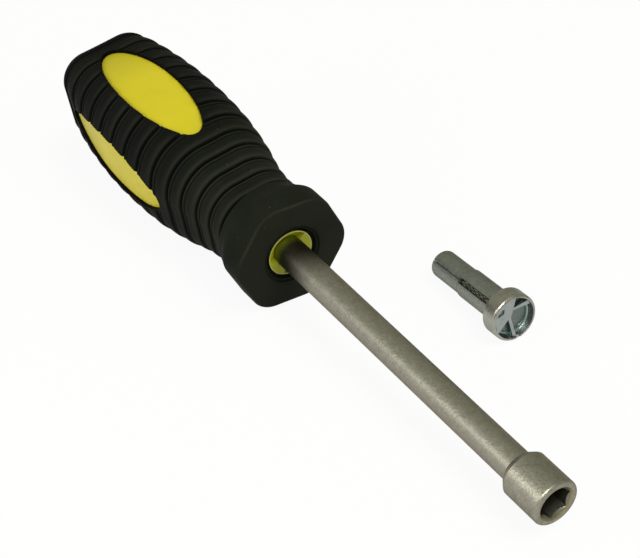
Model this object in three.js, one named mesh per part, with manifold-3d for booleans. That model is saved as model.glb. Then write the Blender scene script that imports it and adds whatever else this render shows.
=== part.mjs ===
// A hex nut driver with a soft ribbed grip, and the loose cup-headed pin that lies beside it.
// Millimetres, +Z up. Each tool is drawn along its own axis, +X towards its working end, and is
// then tipped the way it lies on a bench. The handle's own origin is the front face of its collar.

import * as THREE from 'three';
import { mergeVertices } from 'three/addons/utils/BufferGeometryUtils.js';
import Module from 'manifold-3d';

const wasm = await Module();
wasm.setup();

const degrees = Math.PI / 180;
const quarterTurn = Math.PI / 2;
const fullTurn = Math.PI * 2;

// Clearances shared by everything
const fitGap = 0.3; // between two pieces that sit one in the other
const overrun = 1; // how far a cutter runs past the face it cuts

// Soft grip
const gripLength = 96.5; // collar face to butt
const gripHalfWidth = 17.4; // axis to a flat side at the thickest place
const gripTurn = 12 * degrees; // a flat side's angle up from level
const gripSides = 4;
const rubberWall = 3; // rubber over the core
const buttRadius = 3.6; // rounded edge of the closed end

// How the grip swells: place along it, half width, and how round its corners are.
// The columns are shares of the grip's length, of its greatest half width and of the local one.
const gripShapeShares = [
  [0, 0.69, 0.78],
  [0.145, 0.7, 0.78],
  [0.228, 0.73, 0.78],
  [0.27, 0.778, 0.78],
  [0.311, 0.836, 0.78],
  [0.38, 0.908, 0.78],
  [0.44, 0.954, 0.77],
  [0.5, 0.983, 0.77],
  [0.6, 1, 0.75],
  [0.7, 0.985, 0.71],
  [0.8, 0.934, 0.66],
  [0.9, 0.856, 0.6],
  [1, 0.74, 0.56],
];

// Ribs round the grip: close together at the neck, wider apart over the palm
const ribCount = 13;
const neckRibCount = 4;
const firstGroove = 13.9; // behind the collar face
const neckPitch = 5.2;
const palmPitch = 6.35;
const ribDepth = 0.95;

// One rib from its groove rearwards: steep shoulder, flat back, a shallow valley and a bead at its end.
// The columns are shares of the pitch and of the depth, which is counted down from the rib's top.
const ribShapeShares = [
  [0, 1],
  [0.1, 0.08],
  [0.62, 0.06],
  [0.76, 0.4],
  [0.88, 0.12],
];

// Collar that stops the driver rolling
const collarSides = 6;
const collarHalfWidth = 14.75; // axis to a flat
const collarCorner = 7.5;
const collarLength = 13.4;
const collarBack = 13.7; // radius of its round rear edge
const collarFlats = 6.2; // length over which the six flats are full
const collarFrontEdge = 0.9; // rounding of the edge at the face
const collarRearEdge = 1.5;
const collarTurn = quarterTurn; // one flat faces down
const mouthRadius = 8; // hole in the front face
const mouthLedge = 0.4; // depth of the flat ledge in it
const mouthFloor = 7.2; // radius of the hole below the ledge, where the nose comes through
const mouthDepth = 1.5;

// Yellow core: body, nose and four oval pads that fill the windows in the rubber
const noseRadius = 6.3;
const noseSetback = 0.8; // nose end behind the collar face
const noseRim = 0.25; // width of the flat rim round the dished pockets in the nose's end
const pocketDepth = 0.9; // of a pocket where it meets the shaft's bore
const pocketSweeps = [146 * degrees, 100 * degrees];
const pocketTurn = 123 * degrees; // middle of the first, the other is across from it
const windowCentre = 63; // behind the collar face
const windowTurns = [9.4 * degrees, 105.7 * degrees, 189.4 * degrees, 285.7 * degrees]; // up from level
const windowHalfLength = 24.3;
const windowHalfWidth = 7.45;
const padRecess = 0.2; // pad face below the floor of the grooves

// Steel blade
const shaftDiameter = 8;
const bladeLength = 102.1; // collar face to socket face
const shaftInset = 72; // length held in the core
const shaftChamfer = 0.6;
const wingLength = 14; // flattened wings that keep the shaft from turning in the core
const wingReach = 1.7; // how far a wing stands out of the shaft
const wingThickness = 2.6;
const wingSetback = 8; // wing end to shaft end
const wingCount = 2;

// Hex socket pressed on the end of the shaft
const headDiameter = 11.8;
const headLength = 12.3;
const headShoulderDrop = 1.1; // slope at the back of the head: how far it falls, and over what length
const headShoulderLength = 1.5;
const headFrontRadius = 0.8;
const hexSides = 6;
const hexAcrossFlats = 7.1;
const hexDepth = 8;
const hexTurn = 21.5 * degrees;
const leadInDiameter = 9;

// Loose pin: a cup head on a knurled stem, with a rolled split sleeve round the stem
const pinLength = 32.4;
const pinHeadDiameter = 12.5;
const pinHeadLength = 5.2;
const pinHeadChamfer = 0.6;
const pinRimRadius = 0.7;
const cupRadius = 5.5; // at the rim
const cupFloorRadius = 4.7;
const cupDepth = 1.9;
const crossSetback = 0.5; // cross top below the rim
const notchWidth = 1.1; // small notch across the rim
const notchDepth = 0.6;
const notchTurn = -78 * degrees;

// Outline of the raised cross in the cup: two thin arms and two wide ones, with four pockets
// between them. Both columns are shares of the cup's radius, to the side and up.
const crossShares = [
  [-0.03, 0.39],
  [0.94, 0.47],
  [0.8, 0.67],
  [-0.01, 0.5],
  [0.14, 1.02],
  [-0.4, 0.96],
  [-0.51, 0.33],
  [-1.01, 0.17],
  [-0.83, -0.6],
  [-0.28, -0.02],
  [-0.02, -1.02],
  [0.15, -1.01],
  [-0.15, 0.02],
];
const sleeveWall = 0.8;
const sleeveTipDiameter = 7.45;
const sleeveDiameter = 8.05;
const sleeveTipLength = 12;
const sleeveStep = 0.5; // length of the slope between the two diameters
const sleeveChamfer = 0.5;
const seamWidth = 0.35; // where they nearly meet
const slotWidth = 1.6; // where the sleeve's edges stand apart
const slotTurn = 145 * degrees;

// Where the pin lies: the middle of its cup face from the collar face, and its heading
const pinForward = 43.5;
const pinAside = 35.9;
const pinHeading = -4.75 * degrees;

// How finely round things are cut
const gripSteps = 36;
const collarSteps = 48;
const coreSteps = 28;
const shaftSteps = 24;
const headSteps = 36;
const pinSteps = 28;
const ovalSteps = 18;
const arcSteps = 3;
const corePlaces = 10;
const collarPlaces = 4;
const weldDistance = 1e-4;

// Materials
const steelLook = { color: 0x9a958a, roughness: 0.45, metalness: 1 };
const rubber = new THREE.MeshStandardMaterial({ color: 0x1b1c19, roughness: 0.75, metalness: 0 });
const yellowPlastic = new THREE.MeshStandardMaterial({ color: 0xd9cf30, roughness: 0.5, metalness: 0 });
const satinSteel = new THREE.MeshStandardMaterial(steelLook);
const socketSteel = new THREE.MeshStandardMaterial(steelLook);
const zincSteel = new THREE.MeshStandardMaterial({ color: 0xa3b0b4, roughness: 0.3, metalness: 1 });
const springSteel = new THREE.MeshStandardMaterial({ color: 0x85857c, roughness: 0.4, metalness: 1 });

// Merges shared corners and drops the empty triangles that a pole leaves behind.
function welded(geometry) {
  const bare = new THREE.BufferGeometry();
  bare.setAttribute('position', geometry.getAttribute('position'));
  bare.setIndex(geometry.getIndex());
  const merged = mergeVertices(bare, weldDistance);
  const corners = merged.getIndex().array;
  const kept = [];
  for (let i = 0; i < corners.length; i += 3) {
    const [a, b, c] = corners.slice(i, i + 3);
    if (a !== b && b !== c && c !== a) kept.push(a, b, c);
  }
  merged.setIndex(kept);
  return merged;
}

function solidFrom(geometry) {
  const closed = welded(geometry);
  return new wasm.Manifold(new wasm.Mesh({
    numProp: 3,
    vertProperties: Float32Array.from(closed.getAttribute('position').array),
    triVerts: Uint32Array.from(closed.getIndex().array),
  }));
}

function geometryFrom(solid) {
  const mesh = solid.getMesh();
  const geometry = new THREE.BufferGeometry();
  geometry.setAttribute('position', new THREE.BufferAttribute(Float32Array.from(mesh.vertProperties), 3));
  geometry.setIndex(Array.from(mesh.triVerts));
  return geometry;
}

// Smooth curve through the rows of a table, read at one place along its first column.
function through(table, place, column) {
  const last = table.length - 1;
  let row = 0;
  while (row < last - 1 && table[row + 1][0] < place) row += 1;
  const slope = (i) => {
    const before = table[Math.max(i - 1, 0)];
    const after = table[Math.min(i + 1, last)];
    return (after[column] - before[column]) / (after[0] - before[0]);
  };
  const span = table[row + 1][0] - table[row][0];
  const t = (place - table[row][0]) / span;
  const start = table[row][column];
  const end = table[row + 1][column];
  const cubic = t * t * (3 - 2 * t);
  const leave = t * (1 - t) * (1 - t) * span * slope(row);
  const arrive = t * t * (1 - t) * span * slope(row + 1);
  return start + (end - start) * cubic + leave - arrive;
}

// Distance from the axis to a regular polygon with rounded corners, at one angle from a flat.
function roundedPolygonRadius(sides, halfWidth, corner, angle) {
  const half = Math.PI / sides;
  const within = THREE.MathUtils.euclideanModulo(angle + half, 2 * half) - half;
  const fromFlat = Math.abs(within);
  const flatEnd = (halfWidth - corner) * Math.tan(half);
  if (halfWidth * Math.tan(fromFlat) <= flatEnd) return halfWidth / Math.cos(fromFlat);
  const reach = (halfWidth - corner) / Math.cos(half);
  const off = half - fromFlat;
  return reach * Math.cos(off) + Math.sqrt(corner ** 2 - (reach * Math.sin(off)) ** 2);
}

// Points of a section across the X axis, counted from +Y towards +Z.
function ringAt(x, steps, radiusAt) {
  const points = [];
  for (let i = 0; i < steps; i += 1) {
    const angle = (i / steps) * fullTurn;
    const radius = radiusAt(angle);
    points.push(new THREE.Vector3(x, radius * Math.cos(angle), radius * Math.sin(angle)));
  }
  return points;
}

// Closed skin over rings that run towards +X, with a flat fan on each end.
function loft(rings) {
  const steps = rings[0].length;
  const points = rings.flat();
  const faces = [];
  for (let i = 0; i + 1 < rings.length; i += 1) {
    for (let j = 0; j < steps; j += 1) {
      const a = i * steps + j;
      const b = i * steps + ((j + 1) % steps);
      faces.push(a, b, b + steps, a, b + steps, a + steps);
    }
  }
  const lastRing = points.length - steps;
  const backHub = points.length;
  const frontHub = backHub + 1;
  for (const ring of [rings[0], rings[rings.length - 1]]) {
    points.push(ring.reduce((sum, p) => sum.add(p), new THREE.Vector3()).divideScalar(steps));
  }
  for (let j = 0; j < steps; j += 1) {
    const next = (j + 1) % steps;
    faces.push(backHub, next, j, frontHub, lastRing + j, lastRing + next);
  }
  const geometry = new THREE.BufferGeometry().setFromPoints(points);
  geometry.setIndex(faces);
  return geometry;
}

// Turned piece: the profile's pairs are place along X and radius, outside first, towards +X.
function turned(profile, steps) {
  const points = profile.map(([along, radius]) => new THREE.Vector2(radius, along));
  const geometry = new THREE.LatheGeometry(points, steps);
  geometry.rotateZ(-quarterTurn);
  return geometry;
}

// Flat outline pushed along X: the outline's own x and y become Y and Z.
function pushedAlongX(shape, from, to) {
  const geometry = new THREE.ExtrudeGeometry(shape, { depth: to - from, bevelEnabled: false });
  geometry.rotateY(quarterTurn);
  geometry.rotateX(quarterTurn);
  geometry.translate(from, 0, 0);
  return geometry;
}

function rodCutter(radius, from, to, steps) {
  return solidFrom(turned([[from, 0], [from, radius], [to, radius], [to, 0]], steps));
}

function polygonShape(sides, halfWidth, turn) {
  const shape = new THREE.Shape();
  const cornerRadius = halfWidth / Math.cos(Math.PI / sides);
  const corners = [];
  for (let i = 0; i < sides; i += 1) {
    const angle = turn + (i / sides) * fullTurn;
    corners.push(new THREE.Vector2(cornerRadius * Math.cos(angle), cornerRadius * Math.sin(angle)));
  }
  shape.setFromPoints(corners);
  return shape;
}

// Straight bar across the axis, from one radius to another at one angle.
function barShape(width, from, to, turn) {
  const half = width / 2;
  const corners = [[from, -half], [to, -half], [to, half], [from, half]];
  const centre = new THREE.Vector2();
  const shape = new THREE.Shape();
  shape.setFromPoints(corners.map(([u, v]) => new THREE.Vector2(u, v).rotateAround(centre, turn)));
  return shape;
}

// Grip section at a distance behind the collar face, drawn in by an inset.
function gripRing(distance, inset, steps) {
  const share = distance / gripLength;
  const halfWidth = gripHalfWidth * through(gripShapeShares, share, 1);
  const corner = halfWidth * through(gripShapeShares, share, 2);
  const radiusAt = (angle) => roundedPolygonRadius(gripSides, halfWidth, corner, angle - gripTurn) - inset;
  return ringAt(-distance, steps, radiusAt);
}

// Place of a groove behind the collar face.
function groovePlace(index) {
  const atNeck = Math.min(index, neckRibCount);
  return firstGroove + atNeck * neckPitch + (index - atNeck) * palmPitch;
}

// Stations over the ribs: place behind the collar face and depth below the rib tops.
function ribStations() {
  const stations = [];
  for (let rib = 0; rib < ribCount; rib += 1) {
    const start = groovePlace(rib);
    const pitch = groovePlace(rib + 1) - start;
    for (const [along, dip] of ribShapeShares) stations.push([start + pitch * along, ribDepth * dip]);
  }
  stations.push([groovePlace(ribCount), ribDepth]);
  return stations;
}

// Rounded closed end: distances and insets along a quarter circle.
function buttStations(length, edge) {
  const stations = [];
  for (let i = 0; i <= arcSteps; i += 1) {
    const angle = (i / arcSteps) * quarterTurn;
    stations.push([length - edge * (1 - Math.sin(angle)), edge * (1 - Math.cos(angle))]);
  }
  return stations;
}

function ribbedBody() {
  const inCollar = collarLength - collarRearEdge * 2;
  const stations = [[inCollar, ribDepth], ...ribStations(), ...buttStations(gripLength, buttRadius)];
  const rings = stations.map(([distance, inset]) => gripRing(distance, inset, gripSteps));
  return solidFrom(loft(rings.reverse()));
}

// Smooth body inside the grip, drawn in by an inset and closed behind by the same amount.
function smoothBody(inset, front, steps) {
  const back = gripLength - inset;
  const edge = Math.max(buttRadius - inset, fitGap);
  const stations = [];
  for (let i = 0; i < corePlaces; i += 1) {
    stations.push([front + ((back - edge - front) * i) / corePlaces, inset]);
  }
  for (const [distance, dip] of buttStations(back, edge)) stations.push([distance, inset + dip]);
  const rings = stations.map(([distance, total]) => gripRing(distance, total, steps));
  return solidFrom(loft(rings.reverse()));
}

// Collar: round at the back, swelling to a hexagon with soft corners, its edges rounded.
function collarBody() {
  const flatsStart = collarLength - collarRearEdge;
  const rings = [];
  const addRing = (distance, inset) => {
    const swell = THREE.MathUtils.smoothstep(flatsStart - distance, 0, flatsStart - collarFlats);
    const halfWidth = THREE.MathUtils.lerp(collarBack, collarHalfWidth, swell) - inset;
    const corner = THREE.MathUtils.lerp(collarBack, collarCorner, swell) - inset;
    const radiusAt = (angle) => roundedPolygonRadius(collarSides, halfWidth, corner, angle - collarTurn);
    rings.push(ringAt(-distance, collarSteps, radiusAt));
  };
  for (let i = 0; i <= arcSteps; i += 1) {
    const angle = (i / arcSteps) * quarterTurn;
    addRing(collarLength - collarRearEdge * (1 - Math.cos(angle)), collarRearEdge * (1 - Math.sin(angle)));
  }
  for (let i = 1; i <= collarPlaces; i += 1) {
    addRing(flatsStart - ((flatsStart - collarFlats) * i) / collarPlaces, 0);
  }
  for (let i = arcSteps; i >= 0; i -= 1) {
    const angle = (i / arcSteps) * quarterTurn;
    addRing(collarFrontEdge * (1 - Math.cos(angle)), collarFrontEdge * (1 - Math.sin(angle)));
  }
  return solidFrom(loft(rings));
}

// Oval block that stands out from the axis through one side of the grip.
function ovalBlock(turn, inset) {
  const shape = new THREE.Shape();
  shape.absellipse(-windowCentre, 0, windowHalfLength - inset, windowHalfWidth - inset, 0, fullTurn);
  const reach = gripHalfWidth + overrun;
  const geometry = new THREE.ExtrudeGeometry(shape, {
    depth: reach - noseRadius,
    bevelEnabled: false,
    curveSegments: ovalSteps,
  });
  geometry.translate(0, 0, noseRadius);
  geometry.rotateX(turn - quarterTurn);
  return solidFrom(geometry);
}

function rubberGrip() {
  const cavityFront = collarLength + rubberWall;
  const throat = noseRadius + fitGap;
  const mouth = turned([
    [-mouthDepth, 0],
    [-mouthDepth, mouthFloor],
    [-mouthLedge, mouthFloor],
    [-mouthLedge, mouthRadius],
    [overrun, mouthRadius],
    [overrun, 0],
  ], headSteps);
  let grip = ribbedBody().add(collarBody());
  grip = grip.subtract(smoothBody(rubberWall, cavityFront, coreSteps));
  grip = grip.subtract(rodCutter(throat, -cavityFront - overrun, overrun, headSteps));
  grip = grip.subtract(solidFrom(mouth));
  for (const turn of windowTurns) grip = grip.subtract(ovalBlock(turn, 0));
  return geometryFrom(grip);
}

// Wings stand out of the shaft on opposite sides; the core's slots for them are larger by a gap.
function wings(gap) {
  const back = wingSetback - shaftInset - gap;
  const front = wingSetback - shaftInset + wingLength + gap;
  const tip = shaftDiameter / 2 + wingReach + gap;
  let bars = null;
  for (let i = 0; i < wingCount; i += 1) {
    const turn = gripTurn + (i / wingCount) * fullTurn;
    const shape = barShape(wingThickness + 2 * gap, 0, tip, turn);
    const bar = solidFrom(pushedAlongX(shape, back, front));
    bars = bars ? bars.add(bar) : bar;
  }
  return bars;
}

// Sector of a shallow cone in the end of the nose, deepest where it meets the shaft's bore.
function nosePocket(middle, sweep) {
  const floor = -noseSetback - pocketDepth;
  const rimInside = noseRadius - noseRim;
  const dish = solidFrom(turned([
    [floor, 0],
    [floor, shaftDiameter / 2 + fitGap],
    [-noseSetback, rimInside],
    [overrun, rimInside],
    [overrun, 0],
  ], headSteps));
  const sector = new THREE.Shape();
  sector.absarc(0, 0, noseRadius, middle - sweep / 2, middle + sweep / 2, false);
  sector.lineTo(0, 0);
  return dish.intersect(solidFrom(pushedAlongX(sector, floor - overrun, overrun)));
}

function handleCore() {
  const front = collarLength + rubberWall + fitGap;
  const padInset = ribDepth + padRecess;
  let core = smoothBody(rubberWall + fitGap, front, coreSteps);
  const padSkin = smoothBody(padInset, front, coreSteps);
  for (const turn of windowTurns) core = core.add(ovalBlock(turn, fitGap).intersect(padSkin));
  core = core.add(rodCutter(noseRadius, -front - overrun, -noseSetback, headSteps));
  core = core.subtract(rodCutter(shaftDiameter / 2 + fitGap, -shaftInset - fitGap, overrun, shaftSteps));
  core = core.subtract(wings(fitGap));
  for (const [i, sweep] of pocketSweeps.entries()) {
    core = core.subtract(nosePocket(pocketTurn + i * 2 * quarterTurn, sweep));
  }
  return geometryFrom(core);
}

function shaft() {
  const radius = shaftDiameter / 2;
  const front = bladeLength - hexDepth - fitGap;
  const rod = turned([
    [-shaftInset, 0],
    [-shaftInset, radius - shaftChamfer],
    [shaftChamfer - shaftInset, radius],
    [front - shaftChamfer, radius],
    [front, radius - shaftChamfer],
    [front, 0],
  ], shaftSteps);
  return geometryFrom(solidFrom(rod).add(wings(0)));
}

function hexSocket() {
  const radius = headDiameter / 2;
  const back = bladeLength - headLength;
  const bore = shaftDiameter / 2 + fitGap;
  const shoulder = bladeLength - hexDepth;
  const rimStart = bladeLength - headFrontRadius;
  const outer = [[back, bore], [back, radius - headShoulderDrop], [back + headShoulderLength, radius]];
  for (let i = 0; i <= arcSteps; i += 1) {
    const angle = (i / arcSteps) * quarterTurn;
    outer.push([
      rimStart + headFrontRadius * Math.sin(angle),
      radius - headFrontRadius * (1 - Math.cos(angle)),
    ]);
  }
  const pilot = hexAcrossFlats / 2 - fitGap;
  const inner = [[bladeLength, pilot], [shoulder, pilot], [shoulder, bore], [back, bore]];
  const head = solidFrom(turned([...outer, ...inner], headSteps));
  const hexShape = polygonShape(hexSides, hexAcrossFlats / 2, hexTurn);
  const hex = solidFrom(pushedAlongX(hexShape, shoulder - fitGap, bladeLength + overrun));
  const leadInRadius = leadInDiameter / 2;
  const leadIn = solidFrom(turned([
    [bladeLength - leadInRadius, 0],
    [bladeLength, leadInRadius],
    [bladeLength + overrun, leadInRadius],
    [bladeLength + overrun, 0],
  ], headSteps));
  return geometryFrom(head.subtract(hex).subtract(leadIn));
}

// The cup head and its stem are one turned piece with a raised cross in the cup.
function cupHead() {
  const headRadius = pinHeadDiameter / 2;
  const stemTip = sleeveTipDiameter / 2 - sleeveWall - fitGap;
  const stem = sleeveDiameter / 2 - sleeveWall - fitGap;
  const back = pinLength - pinHeadLength;
  const floor = pinLength - cupDepth;
  const profile = [
    [sleeveChamfer, 0],
    [sleeveChamfer, stemTip],
    [sleeveTipLength, stemTip],
    [sleeveTipLength + sleeveStep, stem],
    [back, stem],
    [back, headRadius - pinHeadChamfer],
    [back + pinHeadChamfer, headRadius],
  ];
  for (let i = 0; i <= arcSteps; i += 1) {
    const angle = (i / arcSteps) * quarterTurn;
    profile.push([
      pinLength - pinRimRadius * (1 - Math.sin(angle)),
      headRadius - pinRimRadius * (1 - Math.cos(angle)),
    ]);
  }
  profile.push([pinLength, cupRadius], [floor, cupFloorRadius], [floor, 0]);
  const cross = new THREE.Shape();
  cross.setFromPoints(crossShares.map(([aside, up]) => new THREE.Vector2(aside, up).multiplyScalar(cupRadius)));
  const notch = barShape(notchWidth, cupRadius - pinRimRadius, headRadius + overrun, notchTurn);
  const head = solidFrom(turned(profile, pinSteps))
    .add(solidFrom(pushedAlongX(cross, floor - fitGap, pinLength - crossSetback)))
    .subtract(solidFrom(pushedAlongX(notch, pinLength - notchDepth, pinLength + overrun)));
  return geometryFrom(head);
}

// Spring steel rolled to a tube: its edges meet at the tip and stand apart nearer the head.
function splitSleeve() {
  const tipRadius = sleeveTipDiameter / 2;
  const radius = sleeveDiameter / 2;
  const end = pinLength - pinHeadLength - fitGap;
  const stepEnd = sleeveTipLength + sleeveStep;
  const tube = turned([
    [0, tipRadius - sleeveWall],
    [0, tipRadius - sleeveChamfer],
    [sleeveChamfer, tipRadius],
    [sleeveTipLength, tipRadius],
    [stepEnd, radius],
    [end, radius],
    [end, radius - sleeveWall],
    [stepEnd, radius - sleeveWall],
    [sleeveTipLength, tipRadius - sleeveWall],
    [0, tipRadius - sleeveWall],
  ], pinSteps);
  const reach = radius + overrun;
  const seam = pushedAlongX(barShape(seamWidth, 0, reach, slotTurn), -overrun, stepEnd);
  const slot = pushedAlongX(barShape(slotWidth, 0, reach, slotTurn), stepEnd, end + overrun);
  return geometryFrom(solidFrom(tube).subtract(solidFrom(seam)).subtract(solidFrom(slot)));
}

function addPiece(group, name, geometry, material) {
  const mesh = new THREE.Mesh(geometry, material);
  mesh.name = name;
  group.add(mesh);
}

// Furthest the grip reaches in one direction across its axis, at a distance behind the collar.
function gripReach(distance, direction) {
  const points = gripRing(distance, 0, gripSteps);
  return Math.max(...points.map((p) => p.y * Math.cos(direction) + p.z * Math.sin(direction)));
}

// On a bench the driver stands on its collar's lower flat and on the rib that touches first.
function restTilt() {
  let steepest = 0;
  for (const [distance, dip] of ribStations()) {
    const rise = gripReach(distance, -quarterTurn) - dip - collarHalfWidth;
    steepest = Math.max(steepest, Math.atan2(rise, distance - collarFrontEdge));
  }
  return steepest;
}

// The pin lies on its head's rear rim and on the end of its sleeve.
function pinTilt() {
  const drop = (pinHeadDiameter - sleeveTipDiameter) / 2;
  return Math.atan2(drop, pinLength - pinHeadLength + pinHeadChamfer - sleeveChamfer);
}

// Lowers or lifts a group so that its lowest point is at height zero.
function standOnBench(group) {
  group.updateMatrixWorld(true);
  const lowest = new THREE.Box3().setFromObject(group, true).min.z;
  group.position.z -= lowest;
}

const driver = new THREE.Group();
addPiece(driver, 'rubber_grip', rubberGrip(), rubber);
addPiece(driver, 'handle_core', handleCore(), yellowPlastic);
addPiece(driver, 'shaft', shaft(), satinSteel);
addPiece(driver, 'hex_socket', hexSocket(), socketSteel);
driver.rotation.y = restTilt();
standOnBench(driver);

const pin = new THREE.Group();
addPiece(pin, 'cup_head', cupHead(), zincSteel);
addPiece(pin, 'split_sleeve', splitSleeve(), springSteel);
pin.rotation.set(0, -pinTilt(), pinHeading, 'ZYX');
pin.position.set(pinForward - pinLength * Math.cos(pinHeading), pinAside - pinLength * Math.sin(pinHeading), 0);
standOnBench(pin);

// The whole set stands centred over its origin.
const nutDriver = new THREE.Group();
nutDriver.add(driver, pin);
nutDriver.updateMatrixWorld(true);
const middle = new THREE.Box3().setFromObject(nutDriver, true).getCenter(new THREE.Vector3());
nutDriver.position.set(-middle.x, -middle.y, 0);
nutDriver.updateMatrixWorld(true);

export default nutDriver;
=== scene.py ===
# %% [markdown]
# # A hex nut driver and its loose pin
# The photograph shows a hand driver with a round steel shaft, a hexagon socket on its end and a soft
# ribbed grip, and beside it a small steel pin with a cup head. This lesson builds the looks of both over
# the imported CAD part. Every surface is a formula on a grid, because the real pieces are turned, rolled or
# moulded round an axis, and such shapes are exact and light as a radius that changes along the axis and
# round it.

import bpy
import numpy as np
from mathutils import Matrix, Vector


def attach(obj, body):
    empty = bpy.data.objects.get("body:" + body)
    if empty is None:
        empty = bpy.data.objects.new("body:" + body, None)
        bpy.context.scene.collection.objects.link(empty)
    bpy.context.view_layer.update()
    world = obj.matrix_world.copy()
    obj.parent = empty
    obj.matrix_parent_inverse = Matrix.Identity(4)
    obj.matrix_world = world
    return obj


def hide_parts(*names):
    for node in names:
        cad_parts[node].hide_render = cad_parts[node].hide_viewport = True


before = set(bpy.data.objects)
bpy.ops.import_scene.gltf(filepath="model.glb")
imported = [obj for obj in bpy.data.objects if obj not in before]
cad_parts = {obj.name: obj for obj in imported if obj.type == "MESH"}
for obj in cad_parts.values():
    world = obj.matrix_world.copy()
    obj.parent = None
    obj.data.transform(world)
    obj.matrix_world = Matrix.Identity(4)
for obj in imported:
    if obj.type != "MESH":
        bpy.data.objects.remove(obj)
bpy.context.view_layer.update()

# %% [markdown]
# ## The camera
# The picture looks down on the tools from in front of the socket. The camera's place was worked out from
# the taper of the shaft in the picture, so it comes first: every later choice is judged through it. It is
# a long lens from half a metre, which keeps the handle and the socket nearly the same scale.

# %% Camera
MM = 0.001
camera_place = np.array([308.36, -210.55, 262.94])
camera_right = np.array([0.55493, 0.83190, -0.00330])
camera_down = np.array([0.47253, -0.31847, -0.82176])
camera_forward = np.cross(camera_right, camera_down)
camera_data = bpy.data.cameras.new("camera")
camera_data.sensor_width = 36
camera_data.lens = 101.25
camera_data.clip_start = 0.01
camera = bpy.data.objects.new("camera", camera_data)
camera.location = camera_place * MM
camera.rotation_euler = Matrix(np.stack([camera_right, -camera_down, -camera_forward], 1).tolist()).to_euler()
bpy.context.scene.collection.objects.link(camera)
bpy.context.scene.camera = camera
print("camera at", [round(v, 4) for v in camera.location])

# %% [markdown]
# ## Two axes
# Both tools lie tilted on the bench. Each has its own frame: a start point, an axis, a level side direction
# and an upward one. The driver's axis runs from the collar's face to the socket, the pin's from its tip to
# its head. A piece is worked out in millimetres along and round its own axis, and one function lays it in
# the common frame.

# %% Axes of the two tools
def tool_frame(start, axis):
    """Start, axis, side and up. The side is level and square to the axis, and up is square to both."""
    axis = np.asarray(axis, float) / np.linalg.norm(axis)
    side = np.cross([0, 0, 1], axis)
    side /= np.linalg.norm(side)
    return np.asarray(start, float), axis, side, np.cross(axis, side)


collar_centre, driver_axis = [-2.623, -12.253, 14.664], [0.997985, 0, -0.063452]
pin_tip, pin_axis = [8.589, 26.330, 3.663], [0.992330, -0.082456, 0.092098]
driver_frame = tool_frame(collar_centre, driver_axis)
pin_frame = tool_frame(pin_tip, pin_axis)


def laid(tool, along, angle, radius):
    """Point = start + along * axis + radius * cos(angle) * side + radius * sin(angle) * up, in metres."""
    start, axis, side, up = tool
    along, angle, radius = np.broadcast_arrays(along, angle, radius)
    across = (radius * np.cos(angle))[..., None] * side + (radius * np.sin(angle))[..., None] * up
    return (start + along[..., None] * axis + across) * MM


print("driver axis", driver_frame[1].round(4), "pin axis", pin_frame[1].round(4))

# %% [markdown]
# ## From a grid of points to a mesh
# Each skin is a grid: rows run along the axis and columns run round it. The columns close on themselves,
# and each open end of the rows is closed by a fan round one point, so the mesh is always a sealed solid.
# Sharp edges are marked by their angle, which keeps curved parts smooth and creases crisp. Where a formula
# can't give a window or a cross, one solid is cut by another or joined with it.

# %% Grid helpers
def make_piece(name, points, faces, material, body, sharp_angle=35):
    """Mesh object from an array of points and a list of face arrays, smooth but for edges over an angle."""
    mesh = bpy.data.meshes.new(name)
    mesh.from_pydata(points.reshape(-1, 3).tolist(), [], [f for block in faces for f in block.tolist()])
    mesh.validate()
    mesh.shade_smooth()
    mesh.set_sharp_from_angle(angle=np.radians(sharp_angle))
    piece = bpy.data.objects.new(name, mesh)
    bpy.context.scene.collection.objects.link(piece)
    piece.data.materials.append(material)
    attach(piece, body)
    print(name, len(mesh.vertices), "points,", len(mesh.polygons), "faces")
    return piece


def grid_quads(index):
    """Four-sided faces between each row of point numbers and the next. The columns close on themselves."""
    right = np.roll(index, -1, axis=1)
    return np.stack([index[:-1], right[:-1], right[1:], index[1:]], -1).reshape(-1, 4)


def closed_skin(grid, ring_joined=False):
    """Points and faces of a grid closed round its columns. Its ends get a fan, or join when ring_joined."""
    rows, columns = grid.shape[:2]
    index = np.arange(rows * columns).reshape(rows, columns)
    if ring_joined:
        return grid.reshape(-1, 3), [grid_quads(np.vstack([index, index[:1]]))]
    hubs = np.array([grid[0].mean(0), grid[-1].mean(0)])
    first_hub = np.full(columns, rows * columns)
    right = np.roll(index, -1, axis=1)
    start_fan = np.stack([first_hub, right[0], index[0]], -1)
    end_fan = np.stack([first_hub + 1, index[-1], right[-1]], -1)
    return np.vstack([grid.reshape(-1, 3), hubs]), [grid_quads(index), start_fan, end_fan]


def combined(piece, other, operation):
    """Exact union with, or cut by, another object, kept as the piece's mesh. The other one is removed."""
    modifier = piece.modifiers.new("join", "BOOLEAN")
    modifier.operation, modifier.solver, modifier.object = operation, "EXACT", other
    bpy.context.view_layer.update()
    piece.data = bpy.data.meshes.new_from_object(piece.evaluated_get(bpy.context.evaluated_depsgraph_get()))
    piece.modifiers.clear()
    bpy.data.objects.remove(other)


def columns_round(count):
    """Angles of a count of columns, evenly spread over a full turn."""
    return np.arange(count) / count * 2 * np.pi


def spread(columns, *values):
    """Values that describe one row, each as an array with its value at every column."""
    return tuple(value + 0 * columns for value in values)


print("four columns stand at", columns_round(4).round(2).tolist(), "radians")

# %% [markdown]
# ## Nodes for the finishes
# A finish is a small graph of shader nodes. One helper adds a node with its settings and links, and one
# turns a colour as it is read off a screen into the linear light that the renderer counts in.

# %% Material helpers
def linear(hex_colour):
    """sRGB hex to linear: (c / 12.92) for dark values, else ((c + 0.055) / 1.055) to the power 2.4."""
    c = np.array([int(hex_colour[i:i + 2], 16) for i in (1, 3, 5)]) / 255
    return (*np.where(c <= 0.04045, c / 12.92, ((c + 0.055) / 1.055) ** 2.4), 1.0)


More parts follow.
